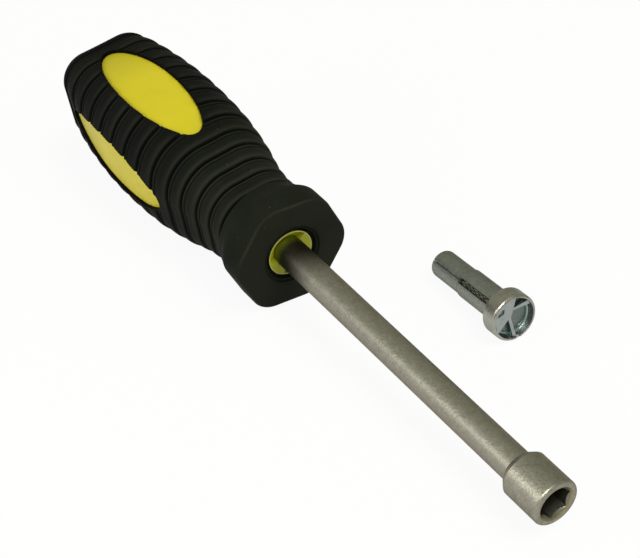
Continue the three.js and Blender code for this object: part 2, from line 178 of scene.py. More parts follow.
def new_material(name):
    """Empty node material, with its tree and the output's surface socket."""
    material = bpy.data.materials.new(name)
    material.use_nodes = True
    tree = material.node_tree
    tree.nodes.clear()
    return material, tree, tree.nodes.new("ShaderNodeOutputMaterial").inputs["Surface"]


def add(tree, kind, settings=None, **sockets):
    """Node of a kind. Settings are its own properties; a socket takes a value or another node's output."""
    node = tree.nodes.new("ShaderNode" + kind)
    for key, value in (settings or {}).items():
        setattr(node, key, value)
    for key, value in sockets.items():
        name = key.replace("_", " ")
        socket = node.inputs[int(name[1:])] if name[0] == "i" and name[1:].isdigit() else node.inputs[name]
        if isinstance(value, bpy.types.NodeSocket):
            tree.links.new(value, socket)
        else:
            socket.default_value = value
    return node


def ramp(tree, factor, stops):
    """Colour ramp through (place, hex colour) stops."""
    node = add(tree, "ValToRGB", Fac=factor)
    elements = node.color_ramp.elements
    while len(elements) < len(stops):
        elements.new(0.5)
    for element, (place, colour) in zip(elements, stops):
        element.position = place
        element.color = linear(colour)
    return node.outputs["Color"]


def on_axis(tree, tool):
    """Place in a tool's own frame, in metres: distance along its axis, radius from it and whole vector."""
    start, *directions = tool
    place = add(tree, "TexCoord").outputs["Object"]
    offset = add(tree, "VectorMath", {"operation": "SUBTRACT"}, i0=place, i1=tuple(start * MM))
    offset, dot = offset.outputs["Vector"], {"operation": "DOT_PRODUCT"}
    products = [add(tree, "VectorMath", dot, i0=offset, i1=tuple(row)) for row in directions]
    along, side, up = [product.outputs["Value"] for product in products]
    across = add(tree, "CombineXYZ", Y=side, Z=up).outputs["Vector"]
    radius = add(tree, "VectorMath", {"operation": "LENGTH"}, i0=across).outputs["Value"]
    return along, radius, add(tree, "CombineXYZ", X=along, Y=side, Z=up).outputs["Vector"]


def turning_to(tree, colour, other, measure, full, none):
    """Colour that turns to another: wholly where the measure, in mm, is at full, not at all at none."""
    other = linear(other) if isinstance(other, str) else other
    share = add(tree, "MapRange", Value=measure, From_Min=full * MM, From_Max=none * MM, To_Min=1.0,
                To_Max=0.0)
    mixed = add(tree, "Mix", {"data_type": "RGBA"}, Factor=share.outputs["Result"], A=colour, B=other)
    return mixed.outputs["Result"]


print("screen grey #808080 is", np.round(linear("#808080")[0], 3), "in linear light")

# %% [markdown]
# ## Black rubber
# The grip is a thermoplastic rubber, moulded over the core in a spark-eroded tool. That gives the eye a
# matt, nearly black skin with an olive cast, a very fine grain that takes no clear highlight, and a little
# grey dust. The mesh carries a tone from 0 to 1, 0.5 where nothing changes: above 0.5 it paints highlights on
# the rib shoulders, the beads and the collar's front edge, and below 0.5 it paints shade in the crevices, at
# the neck and towards the butt. The grain is about 0.1 mm, too fine for the picture, so it is drawn at 0.35
# mm.

# %% Rubber material
def per_metre(millimetres):
    """Scale of a pattern that repeats once in a length of so many millimetres."""
    return 1000 / millimetres


def noise(tree, place, millimetres, detail, **settings):
    """Cloudy pattern whose patches are about so many millimetres wide."""
    scale = per_metre(millimetres)
    return add(tree, "TexNoise", Vector=place, Scale=scale, Detail=detail, **settings).outputs["Fac"]


def bumps(tree, height, strength):
    """Surface direction as if a pattern stood out by 0.1 mm, times a strength."""
    return add(tree, "Bump", Height=height, Strength=strength, Distance=0.1 * MM).outputs["Normal"]


def rubber_material():
    """Skin colour that turns to pale as the tone goes from 0.5 to 1, and to dark as it goes to 0."""
    material, tree, surface = new_material("black_tpr_rubber")
    place = add(tree, "TexCoord").outputs["Object"]
    cloud = noise(tree, place, 14, 3.0)
    grain = noise(tree, place, 0.35, 2.0)
    specks = add(tree, "TexVoronoi", Vector=place, Scale=per_metre(2.6)).outputs["Distance"]
    mottle = add(tree, "Mix", {"data_type": "FLOAT"}, Factor=0.5, A=cloud, B=grain).outputs["Result"]
    skin = ramp(tree, mottle, [(0.35, "#0e110a"), (0.65, "#1c1f17")])
    dust = ramp(tree, specks, [(0.02, "#8a8b82"), (0.06, "#000000")])
    lighten = {"data_type": "RGBA", "blend_type": "LIGHTEN"}
    dusty = add(tree, "Mix", lighten, Factor=0.35, A=skin, B=dust).outputs["Result"]
    tone = add(tree, "Attribute", {"attribute_name": "tone"}).outputs["Fac"]
    pale = add(tree, "MapRange", Value=tone, From_Min=0.5).outputs["Result"]
    dark = add(tree, "MapRange", Value=tone, From_Max=0.5, To_Min=1.0, To_Max=0.0).outputs["Result"]
    blend = {"data_type": "RGBA"}
    # Painted light: the pale tone paints highlights on shoulders, beads and the collar's edge, and the dark
    # tone paints shade.
    painted_highlight_skin = add(tree, "Mix", blend, Factor=pale, A=dusty, B=linear("#2a2c23")).outputs["Result"]
    toned = add(tree, "Mix", blend, Factor=dark, A=painted_highlight_skin, B=linear("#040403")).outputs["Result"]
    matt = add(tree, "MapRange", Value=grain, To_Min=0.7, To_Max=0.9).outputs["Result"]
    bump = bumps(tree, grain, 0.16)
    rubber = add(tree, "BsdfPrincipled", Base_Color=toned, Roughness=matt, Normal=bump, IOR=1.5,
                 Specular_IOR_Level=0.08)
    tree.links.new(rubber.outputs["BSDF"], surface)
    return material


black_rubber = rubber_material()
print("made", black_rubber.name)

# %% [markdown]
# ## The grip's section
# Across its axis the grip is a square with very round corners, and both its width and its roundness change
# along it. Stations read off the picture give the width and the corner at thirteen places, and a smooth curve
# runs through them. The collar in front is the same kind of shape with six sides.

# %% Sections of the grip and its collar
grip_length, grip_half_width, grip_turn = 96.5, 17.4, np.radians(12)
grip_stations = np.array([
    [0, 0.69, 0.78], [0.145, 0.7, 0.78], [0.228, 0.73, 0.78], [0.27, 0.778, 0.78], [0.311, 0.836, 0.78],
    [0.38, 0.908, 0.78], [0.44, 0.954, 0.77], [0.5, 0.983, 0.77], [0.6, 1, 0.75], [0.7, 0.985, 0.71],
    [0.8, 0.934, 0.66], [0.9, 0.856, 0.6], [1, 0.74, 0.56],
])


def through(table, place, column):
    """Smooth curve through a table: cubic between rows, its slope at a row that of the rows beside it."""
    x, y = table[:, 0], table[:, column]
    slope = np.gradient(y, x)
    slope[1:-1] = (y[2:] - y[:-2]) / (x[2:] - x[:-2])
    row = np.clip(np.searchsorted(x, place) - 1, 0, len(x) - 2)
    span = x[row + 1] - x[row]
    t = (place - x[row]) / span
    blend = y[row] + (y[row + 1] - y[row]) * t * t * (3 - 2 * t)
    return blend + span * t * (1 - t) * ((1 - t) * slope[row] - t * slope[row + 1])


def rounded_polygon(sides, half_width, corner, angle):
    """Radius at an angle from a flat: half_width / cos on the flat, then a circle of the corner's radius."""
    half = np.pi / sides
    within = np.abs((angle + half) % (2 * half) - half)
    reach = (half_width - corner) / np.cos(half)
    off = half - within
    round_part = reach * np.cos(off) + np.sqrt(np.maximum(corner ** 2 - (reach * np.sin(off)) ** 2, 0))
    on_flat = half_width * np.tan(within) <= (half_width - corner) * np.tan(half)
    return np.where(on_flat, half_width / np.cos(within), round_part)


def grip_radius(distance, angle):
    """Radius of the plain grip, without ribs, at a distance behind the collar's front face."""
    share = distance / grip_length
    half_width = grip_half_width * through(grip_stations, share, 1)
    corner = half_width * through(grip_stations, share, 2)
    return rounded_polygon(4, half_width, corner, angle - grip_turn)


print("grip radius on a flat at 57 mm:", grip_radius(np.array(57.0), grip_turn).round(2), "mm")

# %% [markdown]
# ## The ribs and the windows
# Seen close, a rib isn't a half-round band. It has a deep narrow crevice, a steep front shoulder, a long
# back that falls away and a thin bead before the next crevice. So one rib is a table of depth over one
# pitch, and it is repeated: close at the neck, wider over the palm. The ribs grow shallow towards the oval
# windows, so a window's edge is only slightly scalloped. A second table gives the tone over the same pitch:
# a painted highlight on the shoulder and the bead, painted shade in the crevices.

# %% Rib and window shapes
rib_depth = 1.35
groove_places = np.concatenate([13.9 + 5.2 * np.arange(4), 34.7 + 6.35 * np.arange(10)])
rib_shape = np.array([
    [0, 1], [0.035, 0.96], [0.06, 0.6], [0.08, 0.3], [0.11, 0.12], [0.17, 0.03], [0.3, 0], [0.45, 0.05],
    [0.6, 0.13], [0.69, 0.19], [0.73, 0.32], [0.76, 0.5], [0.79, 0.47], [0.82, 0.28], [0.86, 0.19],
    [0.9, 0.23], [0.94, 0.46], [0.965, 0.9], [1, 1],
])
# Tone over one pitch: painted shade in the crevices, a painted highlight on the shoulder and the bead.
rib_tone = np.array([
    [0, 0], [0.06, 0.1], [0.09, 0.7], [0.13, 1], [0.24, 0.75], [0.4, 0.5], [0.6, 0.5], [0.69, 0.75],
    [0.73, 0.4], [0.76, 0.1], [0.79, 0.15], [0.82, 0.7], [0.87, 1], [0.91, 0.7], [0.95, 0.1], [1, 0],
])
window_turns = np.radians([9.4, 105.7, 189.4, 285.7])
window_centre, window_half_length, window_half_width = 63, 24.3, 7.45
window_rib_share, window_fade_width, widest_off = 0.3, 1.6, 1.2
last_groove_width = 0.3


def over_a_rib(distance, table, elsewhere):
    """Reads a table at the share of the pitch behind the groove in front, or the other value off the ribs."""
    rib = np.clip(np.searchsorted(groove_places, distance, side="right") - 1, 0, len(groove_places) - 2)
    start, pitch = groove_places[rib], np.diff(groove_places)[rib]
    value = np.interp((distance - start) / pitch, table[:, 0], table[:, 1])
    off_the_ribs = (distance < groove_places[0]) | (distance > groove_places[-1] + last_groove_width)
    return np.where(off_the_ribs, elsewhere, value)


def window_fade(distance, angle, radius):
    """Share of a rib's depth: 0.3 at a window's edge, rising to 1 at 1.6 mm outside it.

    An oval's scaled distance is q = hypot(along / half length, side / half width), and the millimetres
    outside it are (q - 1) / |gradient of q|.
    """
    off = (angle[:, None] - window_turns + np.pi) % (2 * np.pi) - np.pi
    off = np.take_along_axis(off, np.abs(off).argmin(-1)[:, None], -1)[:, 0]
    side = radius * np.sin(np.clip(off, -widest_off, widest_off))
    along = distance - window_centre
    q = np.hypot(along / window_half_length, side / window_half_width)
    gradient = np.hypot(along / window_half_length ** 2, side / window_half_width ** 2) / np.maximum(q, 1e-6)
    t = np.clip((q - 1) / np.maximum(gradient, 1e-6) / window_fade_width, 0, 1)
    return window_rib_share + (1 - window_rib_share) * t * t * (3 - 2 * t)


print("grooves behind the collar face:", groove_places.round(1).tolist())

# %% [markdown]
# ## The grip as one skin
# The rubber is one moulding, so it is one skin: it starts in the middle of the butt, runs forward over the
# ribs and the collar, turns in at the mouth round the shaft and comes back along the inside of the cavity.
# The four windows are then cut with oval blocks, as the CAD does.

# %% Rows of the butt and the ribs
grip_columns = columns_round(228)
# butt_tone and the neck and palm darkening are painted shade: the rubber is painted darker towards the butt.
butt_radius, butt_tone = 3.6, 0.25
neck_painted_shade, palm_painted_shade, palm_start, palm_darkest = 0.07, 0.28, 25, 45


def plain_grip(distance):
    """The grip's radius without ribs at one place, at every column."""
    return grip_radius(np.array(distance), grip_columns)


def ring(distance, radius, tone=0.5):
    """One row of the skin: place behind the collar face, radius and tone."""
    return spread(grip_columns, distance, radius, tone)


def butt_rows():
    """Flat end, then its round: back by r (1 - sin turn) as the radius draws in by r (1 - cos turn)."""
    rows = [ring(grip_length, (plain_grip(grip_length) - butt_radius) * share) for share in (0.3, 0.6, 0.85)]
    for turn in np.linspace(np.pi / 2, 0, 9):
        distance = grip_length - butt_radius * (1 - np.sin(turn))
        inset = butt_radius * (1 - np.cos(turn))
        rows.append(ring(distance, plain_grip(distance) - inset, butt_tone))
    return rows


def rib_places():
    """Places of the rows over the ribs: 22 to a pitch, closest at the crevices."""
    shares = np.array([0, .015, .03, .045, .06, .08, .1, .14, .18, .28, .4, .52, .6, .65, .69, .73, .77, .81,
                       .86, .91, .95, .98])
    pitch = np.diff(groove_places)[:, None]
    return np.append((groove_places[:-1, None] + pitch * shares).ravel(), groove_places[-1])


def ribbed_rows():
    """Ribs: radius = plain - depth * table * fade. Tone = 0.5 + (table - 0.5) * fade - painted shade, more
    towards the butt.
    """
    rows = []
    for distance in rib_places()[::-1]:
        plain = plain_grip(distance)
        fade = window_fade(distance, grip_columns, plain)
        dip = rib_depth * over_a_rib(distance, rib_shape, 0)
        # Painted shade: the tone darkens from the neck towards the butt.
        on_palm = np.clip((distance - palm_start) / (palm_darkest - palm_start), 0, 1)
        painted_darkening = neck_painted_shade + palm_painted_shade * on_palm
        tone = 0.5 + (over_a_rib(distance, rib_tone, 0.5) - 0.5) * fade - painted_darkening
        rows.append(ring(distance, plain - dip * fade, tone))
    return rows


grip_rows = butt_rows() + ribbed_rows()
print("rows of the butt and the ribs:", len(grip_rows))

# %% [markdown]
# ## Collar, mouth and cavity
# The collar is round where it meets the ribs and swells to six flats, which keep the tool from rolling. Its
# rounded edges are rows that turn through a quarter circle. The mouth is a short table of steps, and the
# cavity is the grip's own curve again, one wall thickness further in.

# %% Rows of the collar, the mouth and the cavity
collar_length, collar_front_edge, collar_rear_edge, collar_flats_start = 13.4, 0.75, 1.4, 6.2
collar_back_radius, collar_half_width, collar_corner = 13.7, 14.75, 7.5
# The neck's tone is painted shade in its crease; the face's tone is painted light.
neck_tone, face_tone, face_turn = 0.1, 0.64, 0.7
mouth_radius, mouth_hole_radius, rubber_wall, cavity_edge = 8.2, 6.6, 3.0, 0.6
mouth_steps = [(0.04, 8.08), (0.14, 8.02), (0.36, 8.0), (0.4, 7.96), (0.4, 7.6), (0.42, 7.3), (0.5, 7.22),
               (1.44, 7.2), (1.5, 7.14), (1.5, 6.9), (1.5, mouth_hole_radius)]


def collar_radius(distance, inset, angle):
    """Six-sided section that swells from round at the back to full flats, drawn in by an inset."""
    swell_start = collar_length - collar_rear_edge
    t = np.clip((swell_start - distance) / (swell_start - collar_flats_start), 0, 1)
    swell = t * t * (3 - 2 * t)
    half_width = collar_back_radius + (collar_half_width - collar_back_radius) * swell - inset
    corner = collar_back_radius + (collar_corner - collar_back_radius) * swell - inset
    return rounded_polygon(6, half_width, corner, angle - np.pi / 2)


def collar_rows():
    """Neck, rounded rear edge that stays over it, six flats, rounded front edge and flat face. The neck's row
    is painted shade in its crease, the front edge a painted highlight, palest away from its corners, and the
    face a paler painted light."""
    neck = plain_grip(collar_length) - rib_depth
    rows = [ring(collar_length, neck, neck_tone)]
    for turn in np.linspace(0, np.pi / 2, 9):
        distance = collar_length - collar_rear_edge * (1 - np.cos(turn))
        shoulder = collar_radius(distance, collar_rear_edge * (1 - np.sin(turn)), grip_columns)
        rows.append(ring(distance, np.maximum(shoulder, neck + 0.01)))
    for distance in np.linspace(collar_length - collar_rear_edge, collar_front_edge, 20)[1:-1]:
        rows.append(ring(distance, collar_radius(distance, 0, grip_columns)))
    # Painted highlight along the front edge, palest away from its corners, and painted light on the face.
    from_corner = np.abs(np.sin(3 * grip_columns))
    for turn in np.linspace(np.pi / 2, 0, 9):
        inset = collar_front_edge * (1 - np.sin(turn))
        tone = 0.5 + 0.5 * np.sin(2 * turn) ** 2 * (0.25 + 0.75 * from_corner)
        tone = np.maximum(tone, face_tone if turn < face_turn else 0.5)
        rows.append(ring(collar_front_edge * (1 - np.cos(turn)), collar_radius(0, inset, grip_columns), tone))
    face = collar_radius(0, collar_front_edge, grip_columns)
    return rows + [ring(0, face + (mouth_radius - face) * share, face_tone) for share in (0.25, 0.5, 0.75, 1)]


def cavity_rows():
    """Inside of the rubber: the end of the mouth's hole, the grip's own curve less the wall, and its end."""
    front, back = collar_length + rubber_wall, grip_length - rubber_wall
    rows = [ring(front, mouth_hole_radius)]
    for distance in np.linspace(front, back - cavity_edge, 22):
        rows.append(ring(distance, plain_grip(distance) - rubber_wall))
    end = plain_grip(back) - rubber_wall - cavity_edge
    return rows + [ring(back, end * share) for share in (1, 0.5)]


mouth_rows = [ring(distance, radius) for distance, radius in mouth_steps]
grip_rows += collar_rows() + mouth_rows + cavity_rows()
print("rows of the whole rubber:", len(grip_rows))

# %% [markdown]
# ## Cutting the windows
# A window is an oval, 48.6 by 14.9 mm, pushed straight out through the wall. The same oval carries the pad
# later, so one function lays points beside a window's middle line.

# %% Rubber grip
def by_window(normal, along, aside, height):
    """Point = start + along * axis + aside * across + height * outward, in metres, where normal is the turn
    of the window round the axis."""
    start, axis, level, up = driver_frame
    outward = np.cos(normal) * level + np.sin(normal) * up
    across = -np.sin(normal) * level + np.cos(normal) * up
    along, aside, height = (part[..., None] for part in np.broadcast_arrays(along, aside, height))
    return (start + along * axis + aside * across + height * outward) * MM


def window_block(side):
    """Sealed oval block through one side of the grip: half length * cos along, half width * sin aside."""
    turn = columns_round(112)
    heights = np.array([18.4, 6.3])[:, None]
    along = -window_centre + window_half_length * np.cos(turn)
    return closed_skin(by_window(window_turns[side], along, window_half_width * np.sin(turn), heights))


distances, radii, tones = (np.array(block) for block in zip(*grip_rows))
grip_grid = laid(driver_frame, -distances, grip_columns, radii)
grip = make_piece("rubber_grip_skin", *closed_skin(grip_grid), black_rubber, "driver", 40)
tone_layer = grip.data.attributes.new("tone", "FLOAT", "POINT")
tone_layer.data.foreach_set("value", np.append(tones.ravel(), [0.5, 0.5]))
for side in range(4):
    cutter = make_piece(f"window_cutter_{side}", *window_block(side), black_rubber, "driver")
    combined(grip, cutter, "DIFFERENCE")
grip.data.shade_smooth()
grip.data.set_sharp_from_angle(angle=np.radians(40))
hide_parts("rubber_grip")
print("grip after its windows:", len(grip.data.polygons), "faces")

# %% [markdown]
# ## Yellow plastic
# The core is a coloured polypropylene, moulded against a finely etched tool. That gives the eye a soft
# satin yellow with a slight green cast, a little light passing under the skin, and faint flow marks about a
# centimetre wide. The nose is painted a darker green, as the shade in its hollows, with a painted highlight
# on its rim and nearly black painted shade just outside it. Towards the butt the pads are painted darker, as
# shade. The etched grain is 0.15 mm, drawn at 0.4 mm.

# %% Yellow material
def yellow_material():
    """Pads painted darker towards the butt as shade, and the nose in front: painted shade with a painted
    highlight on its rim.
    """
    material, tree, surface = new_material("yellow_polypropylene")
    place = add(tree, "TexCoord").outputs["Object"]
    flow = noise(tree, place, 11, 4.0, Distortion=0.6)
    grain = noise(tree, place, 0.4, 2.0)
    along, radius, _ = on_axis(tree, driver_frame)
    pads = ramp(tree, flow, [(0.3, "#c7b91a"), (0.7, "#cec020")])
    # Painted shade: the pads darken towards the butt.
    shaded_pads = turning_to(tree, pads, "#b3a81c", along, -87, -68)
    # Painted light on the nose: a pale painted highlight on its rim, darker green painted shade in its
    # hollows, nearly black painted shade on its outer side.
    rim = turning_to(tree, linear("#94960f"), "#bdb96c", radius, 6.2, 5.98)
    nose = turning_to(tree, rim, "#2c2e0c", radius, 6.3, 6.24)
    colour = turning_to(tree, shaded_pads, nose, along, -3, -12)
    matt = add(tree, "MapRange", Value=grain, To_Min=0.42, To_Max=0.56).outputs["Result"]
    bump = bumps(tree, grain, 0.12)
    plastic = add(tree, "BsdfPrincipled", Base_Color=colour, Roughness=matt, Normal=bump, IOR=1.49,
                  Specular_IOR_Level=0.3, Subsurface_Weight=0.08, Subsurface_Radius=(1.0, 0.9, 0.3),
                  Subsurface_Scale=0.8 * MM)
    tree.links.new(plastic.outputs["BSDF"], surface)
    return material


yellow_plastic = yellow_material()
print("made", yellow_plastic.name)

# %% [markdown]
# ## The core and its nose
# Under the rubber lies the hard core. Only its nose shows: a ring round the shaft, just behind the collar's
# face, with two curved hollows that fall steeply towards the shaft and leave a thin rim. The hollows are a
# depth that depends on the radius and the angle, so the nose needs no cutting: the end of the skin is simply
# pushed back where they are.

# %% Core body
core_columns = columns_round(240)
core_gap, core_edge = 0.3, 0.3
nose_radius, nose_neck, nose_setback, bore_radius, bore_end = 6.3, 0.98, 0.8, 4.03, 72.3
nose_radii = (6.22, 6.14, 6.06, 5.98, 5.95, 5.9, 5.85, 5.8, 5.75, 5.5, 5.2, 4.9, 4.6, 4.3, 4.1, bore_radius)
hollow_middles, hollow_half_sweeps, hollow_edge = np.radians([123, 303]), np.radians([73, 50]), 0.15
hollow_radii, hollow_falls = [bore_radius, 5.75, 5.95], [1.6, 0.8, 0]


def nose_depth(radius, angle):
    """Depth of the nose's end: inside a hollow's sweep it falls 0.8 mm at the rim and 1.6 mm by the bore."""
    off = np.abs((angle[..., None] - hollow_middles + np.pi) % (2 * np.pi) - np.pi)
    in_sweep = np.clip(((hollow_half_sweeps - off) * radius / hollow_edge).max(-1), 0, 1)
    return nose_setback + np.interp(radius, hollow_radii, hollow_falls) * in_sweep


def core_rows():
    """Rows from the middle of the core's rear end, over its body and nose, and down its bore."""
    inset = rubber_wall + core_gap
    front, back = collar_length + inset, grip_length - inset
    rear_ring = grip_radius(np.array(back), core_columns) - inset - core_edge
    rows = [(back, rear_ring * share) for share in (0.5, 1)]
    for distance in np.linspace(back - core_edge, front, 24):
        rows.append((distance, grip_radius(np.array(distance), core_columns) - inset))
    rows += [(front, nose_radius), (nose_neck, nose_radius), (nose_neck - 0.12, nose_radius - 0.03)]
    rows += [(nose_depth(radius, core_columns), radius) for radius in nose_radii]
    return rows + [(4, bore_radius), (bore_end, bore_radius), (bore_end, bore_radius / 2)]


core_rings = [spread(core_columns, *row) for row in core_rows()]
distances, radii = (np.array(block) for block in zip(*core_rings))
core_grid = laid(driver_frame, -distances, core_columns, radii)
core = make_piece("handle_core_body", *closed_skin(core_grid), yellow_plastic, "driver", 30)
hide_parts("handle_core")

# %% [markdown]
# ## The four oval pads
# The pads are the part of the core that comes up through the rubber. Their faces follow the grip's own
# curve, 1 mm below the tops of the ribs. A pad is an oval net of rings and spokes laid on that curve, rolled
# over at its edge and carried down into the core.

# %% Oval pads
pad_depth, pad_roll, pad_clearance, pad_foot = 1.0, 0.45, 0.02, 7.0


def on_grip(distance, aside, normal, inset):
    """Height above the axis of the grip's curve at a place beside a normal: found by repeated correction."""
    radius = np.full(np.broadcast(distance, aside).shape, grip_half_width)
    for _ in range(14):
        angle = normal + np.arcsin(np.clip(aside / radius, -0.95, 0.95))
        radius = grip_radius(distance, angle) - inset
    return radius * np.cos(angle - normal)


def pad_grid(side):
    """Rings of an oval from its middle to its edge, then down its rolled edge and its wall to the foot."""
    turn = columns_round(128)
    rings = []

    def lay(share, inward, drop):
        """Ring at a share of the oval that is drawn inward, dropped below the curve."""
        along = -window_centre + (window_half_length - inward) * np.cos(turn) * share
        aside = (window_half_width - inward) * np.sin(turn) * share
        rings.append((along, aside, on_grip(-along, aside, window_turns[side], pad_depth) - drop))

    for share in np.linspace(0.06, 0.92, 16):
        lay(share, pad_clearance + pad_roll, 0)
    for angle in np.linspace(0, np.pi / 2, 6):
        lay(1, pad_clearance + pad_roll * (1 - np.sin(angle)), pad_roll * (1 - np.cos(angle)))
    rings.append((*rings[-1][:2], np.full(len(turn), pad_foot)))
    return by_window(window_turns[side], *(np.array(block) for block in zip(*rings)))


for side in range(4):
    pad = make_piece(f"oval_pad_{side + 1}", *closed_skin(pad_grid(side)), yellow_plastic, "driver", 50)
    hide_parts("handle_core")

# %% [markdown]
# ## Satin nickel steel
# The shaft is drawn bar, polished along its length, then plated with satin nickel. That gives the eye a
# warm grey metal with one wide soft highlight, a fine grain a little longer than it is wide, about 0.1 mm
# and drawn at 0.5 mm, and faint mottling about 2 mm wide. The grain is noise stretched along the
# bar's own axis. Near the core the shaft is painted dark, as the shade and the dark reflection of the collar,
# and right beside the nose it is painted green, as the nose's reflection. The cone in the socket's mouth is
# yellower than its face, and the hexagon behind it is painted darker, as the shade in the hole.
# The sleeve and the stem take the same finish in other tones.

# %% Steel materials
def steel_material(name, dark, light, rough, grain_size, tool, stretch, grain_strength, turns=()):
    """Metal mottled from dark to light. Each turn is another colour, whether it goes by the radius or by the
    place along the axis, and the millimetres where it is full and where it ends."""
    material, tree, surface = new_material(name)
    along, radius, bar = on_axis(tree, tool)
    stretched = add(tree, "Mapping", Vector=bar, Scale=(stretch, 1.0, 1.0)).outputs["Vector"]
    grain = noise(tree, stretched, grain_size, 2.0)
    clouds = noise(tree, bar, 2, 5.0, Roughness=0.7)
    mottle = add(tree, "Mix", {"data_type": "FLOAT"}, Factor=0.5, A=clouds, B=grain).outputs["Result"]
    colour = ramp(tree, mottle, [(0.35, dark), (0.65, light)])
    for other, by_radius, full, none in turns:
        colour = turning_to(tree, colour, other, radius if by_radius else along, full, none)
    satin = add(tree, "MapRange", Value=clouds, To_Min=rough - 0.05, To_Max=rough + 0.05).outputs["Result"]
    bump = bumps(tree, grain, grain_strength)
    steel = add(tree, "BsdfPrincipled", Base_Color=colour, Roughness=satin, Normal=bump, Metallic=1.0,
                Specular_Tint=linear("#a6a299"))
    tree.links.new(steel.outputs["BSDF"], surface)
    return material


# Painted light: the dark turn near the core is painted shade and the collar's dark reflection, the green one
# beside the nose a painted reflection of the nose.
satin_steel = steel_material("satin_nickel_steel", "#898679", "#9f9c90", 0.46, 0.5, driver_frame, 0.7, 0.6,
                             [("#4a493c", False, 4, 14), ("#949d36", False, -1.8, 0.8)])
# Painted shade: the darker turn inside the hexagon's hole.
socket_steel = steel_material("satin_nickel_socket", "#878475", "#a19e92", 0.43, 0.55, driver_frame, 1.0,
                              0.65, [("#928c68", True, 4.45, 4.6), ("#77756a", True, 4.0, 4.3)])
spring_steel = steel_material("rolled_spring_steel", "#7f847b", "#999e97", 0.46, 0.5, pin_frame, 0.7, 0.6)
stem_steel = steel_material("dark_knurled_steel", "#4c4d43", "#7d7e72", 0.5, 0.8, pin_frame, 1.0, 0.6)
print("made", satin_steel.name, socket_steel.name, spring_steel.name, stem_steel.name)

# %% [markdown]
# ## Shaft
# A turned bar: its radius changes only at its chamfered ends, and at two flattened wings, hidden in the
# core, that keep it from turning. The wings are in the same skin: where a bar across the axis reaches
# further than the round does, the radius follows the bar.

# %% Shaft
shaft_radius, shaft_chamfer_radius, shaft_inset, shaft_front = 4.0, 3.4, 72.0, 93.8
wing_reach, wing_half_thickness, wing_ends, wing_step = 5.7, 1.3, (-64, -50), 0.001


def winged_radius(along, angle):
    """Larger of the round and the wing's bar, min(reach / |cos|, thickness / |sin|), inside its length."""
    cosine, sine = np.abs(np.cos(angle - grip_turn)), np.abs(np.sin(angle - grip_turn))
    bar = np.minimum(wing_reach / np.maximum(cosine, 1e-6), wing_half_thickness / np.maximum(sine, 1e-6))
    inside = (along > wing_ends[0]) & (along < wing_ends[1])
    return np.where(inside, np.maximum(shaft_radius, bar), shaft_radius)


shaft_columns = columns_round(96)
wing_places = [end + step for end in wing_ends for step in (-wing_step, wing_step)]
shaft_places = np.concatenate([[-shaft_inset, 0.6 - shaft_inset], wing_places, np.linspace(-40, 93.5, 60),
                               [shaft_front]])[:, None]
shaft_radii = winged_radius(shaft_places, shaft_columns)
shaft_radii[[0, -1]] = shaft_chamfer_radius
shaft_grid = laid(driver_frame, shaft_places, shaft_columns, shaft_radii)
shaft = make_piece("satin_shaft", *closed_skin(shaft_grid), satin_steel, "driver")
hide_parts("shaft")

# %% [markdown]
# ## Hex socket
# The socket is a thick ring pressed on the bar. Its hole is a hexagon, opened at the front by a cone that
# guides the nut in. Hole and cone are one surface: at each angle the hole's radius is the larger of the
# hexagon's and the cone's.

# %% Socket
socket_columns = columns_round(180)
blade_length, barrel_radius, front_round, ring_bore = 102.1, 5.9, 0.8, 4.02
socket_back, cone_radius, hexagon_floor = 89.8, 4.5, 94.1
hexagon_half_width, hexagon_turn = 3.55, np.radians(51.5)
hexagon = hexagon_half_width / np.cos((socket_columns - hexagon_turn + np.pi / 6) % (np.pi / 3) - np.pi / 6)


def socket_rows():
    """Closed loop of rows: out over the back face and the barrel, in over the front, down the hole."""
    rows = [(socket_back, ring_bore), (socket_back, 4.7), (socket_back + 0.06, 4.82), (91.2, 5.82)]
    rows += [(91.36, barrel_radius)] + [(place, barrel_radius) for place in np.linspace(92.5, 101.3, 8)]
    for turn in np.linspace(0, np.pi / 2, 10)[1:]:
        rows.append((101.3 + front_round * np.sin(turn), barrel_radius - front_round * (1 - np.cos(turn))))
    rows += [(blade_length, 4.8), (blade_length, 4.56)]
    for depth in np.concatenate([[0.02, 0.07], np.linspace(0.15, 1, 14)]):
        rows.append((blade_length - depth, np.maximum(hexagon, cone_radius - depth)))
    rows += [(place, hexagon) for place in (99, 96, hexagon_floor)] + [(hexagon_floor, ring_bore)]
    return rows


socket_rings = [spread(socket_columns, *row) for row in socket_rows()]
places, radii = (np.array(block) for block in zip(*socket_rings))
socket_grid = laid(driver_frame, places, socket_columns, radii)
socket = make_piece("socket_head", *closed_skin(socket_grid, ring_joined=True), socket_steel, "driver", 25)
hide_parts("hex_socket")

# %% [markdown]
# ## Bright zinc
# The pin's head is cold-headed steel with a bright zinc plate. That gives the eye a grey metal, shinier than
# the shaft, with small dull patches about 2 mm wide from barrel plating. In the cup the plate is bluish, and
# the colour depends on the depth: the floor is painted darker, as shade, and the wall paler and bluest, as a
# painted reflection.

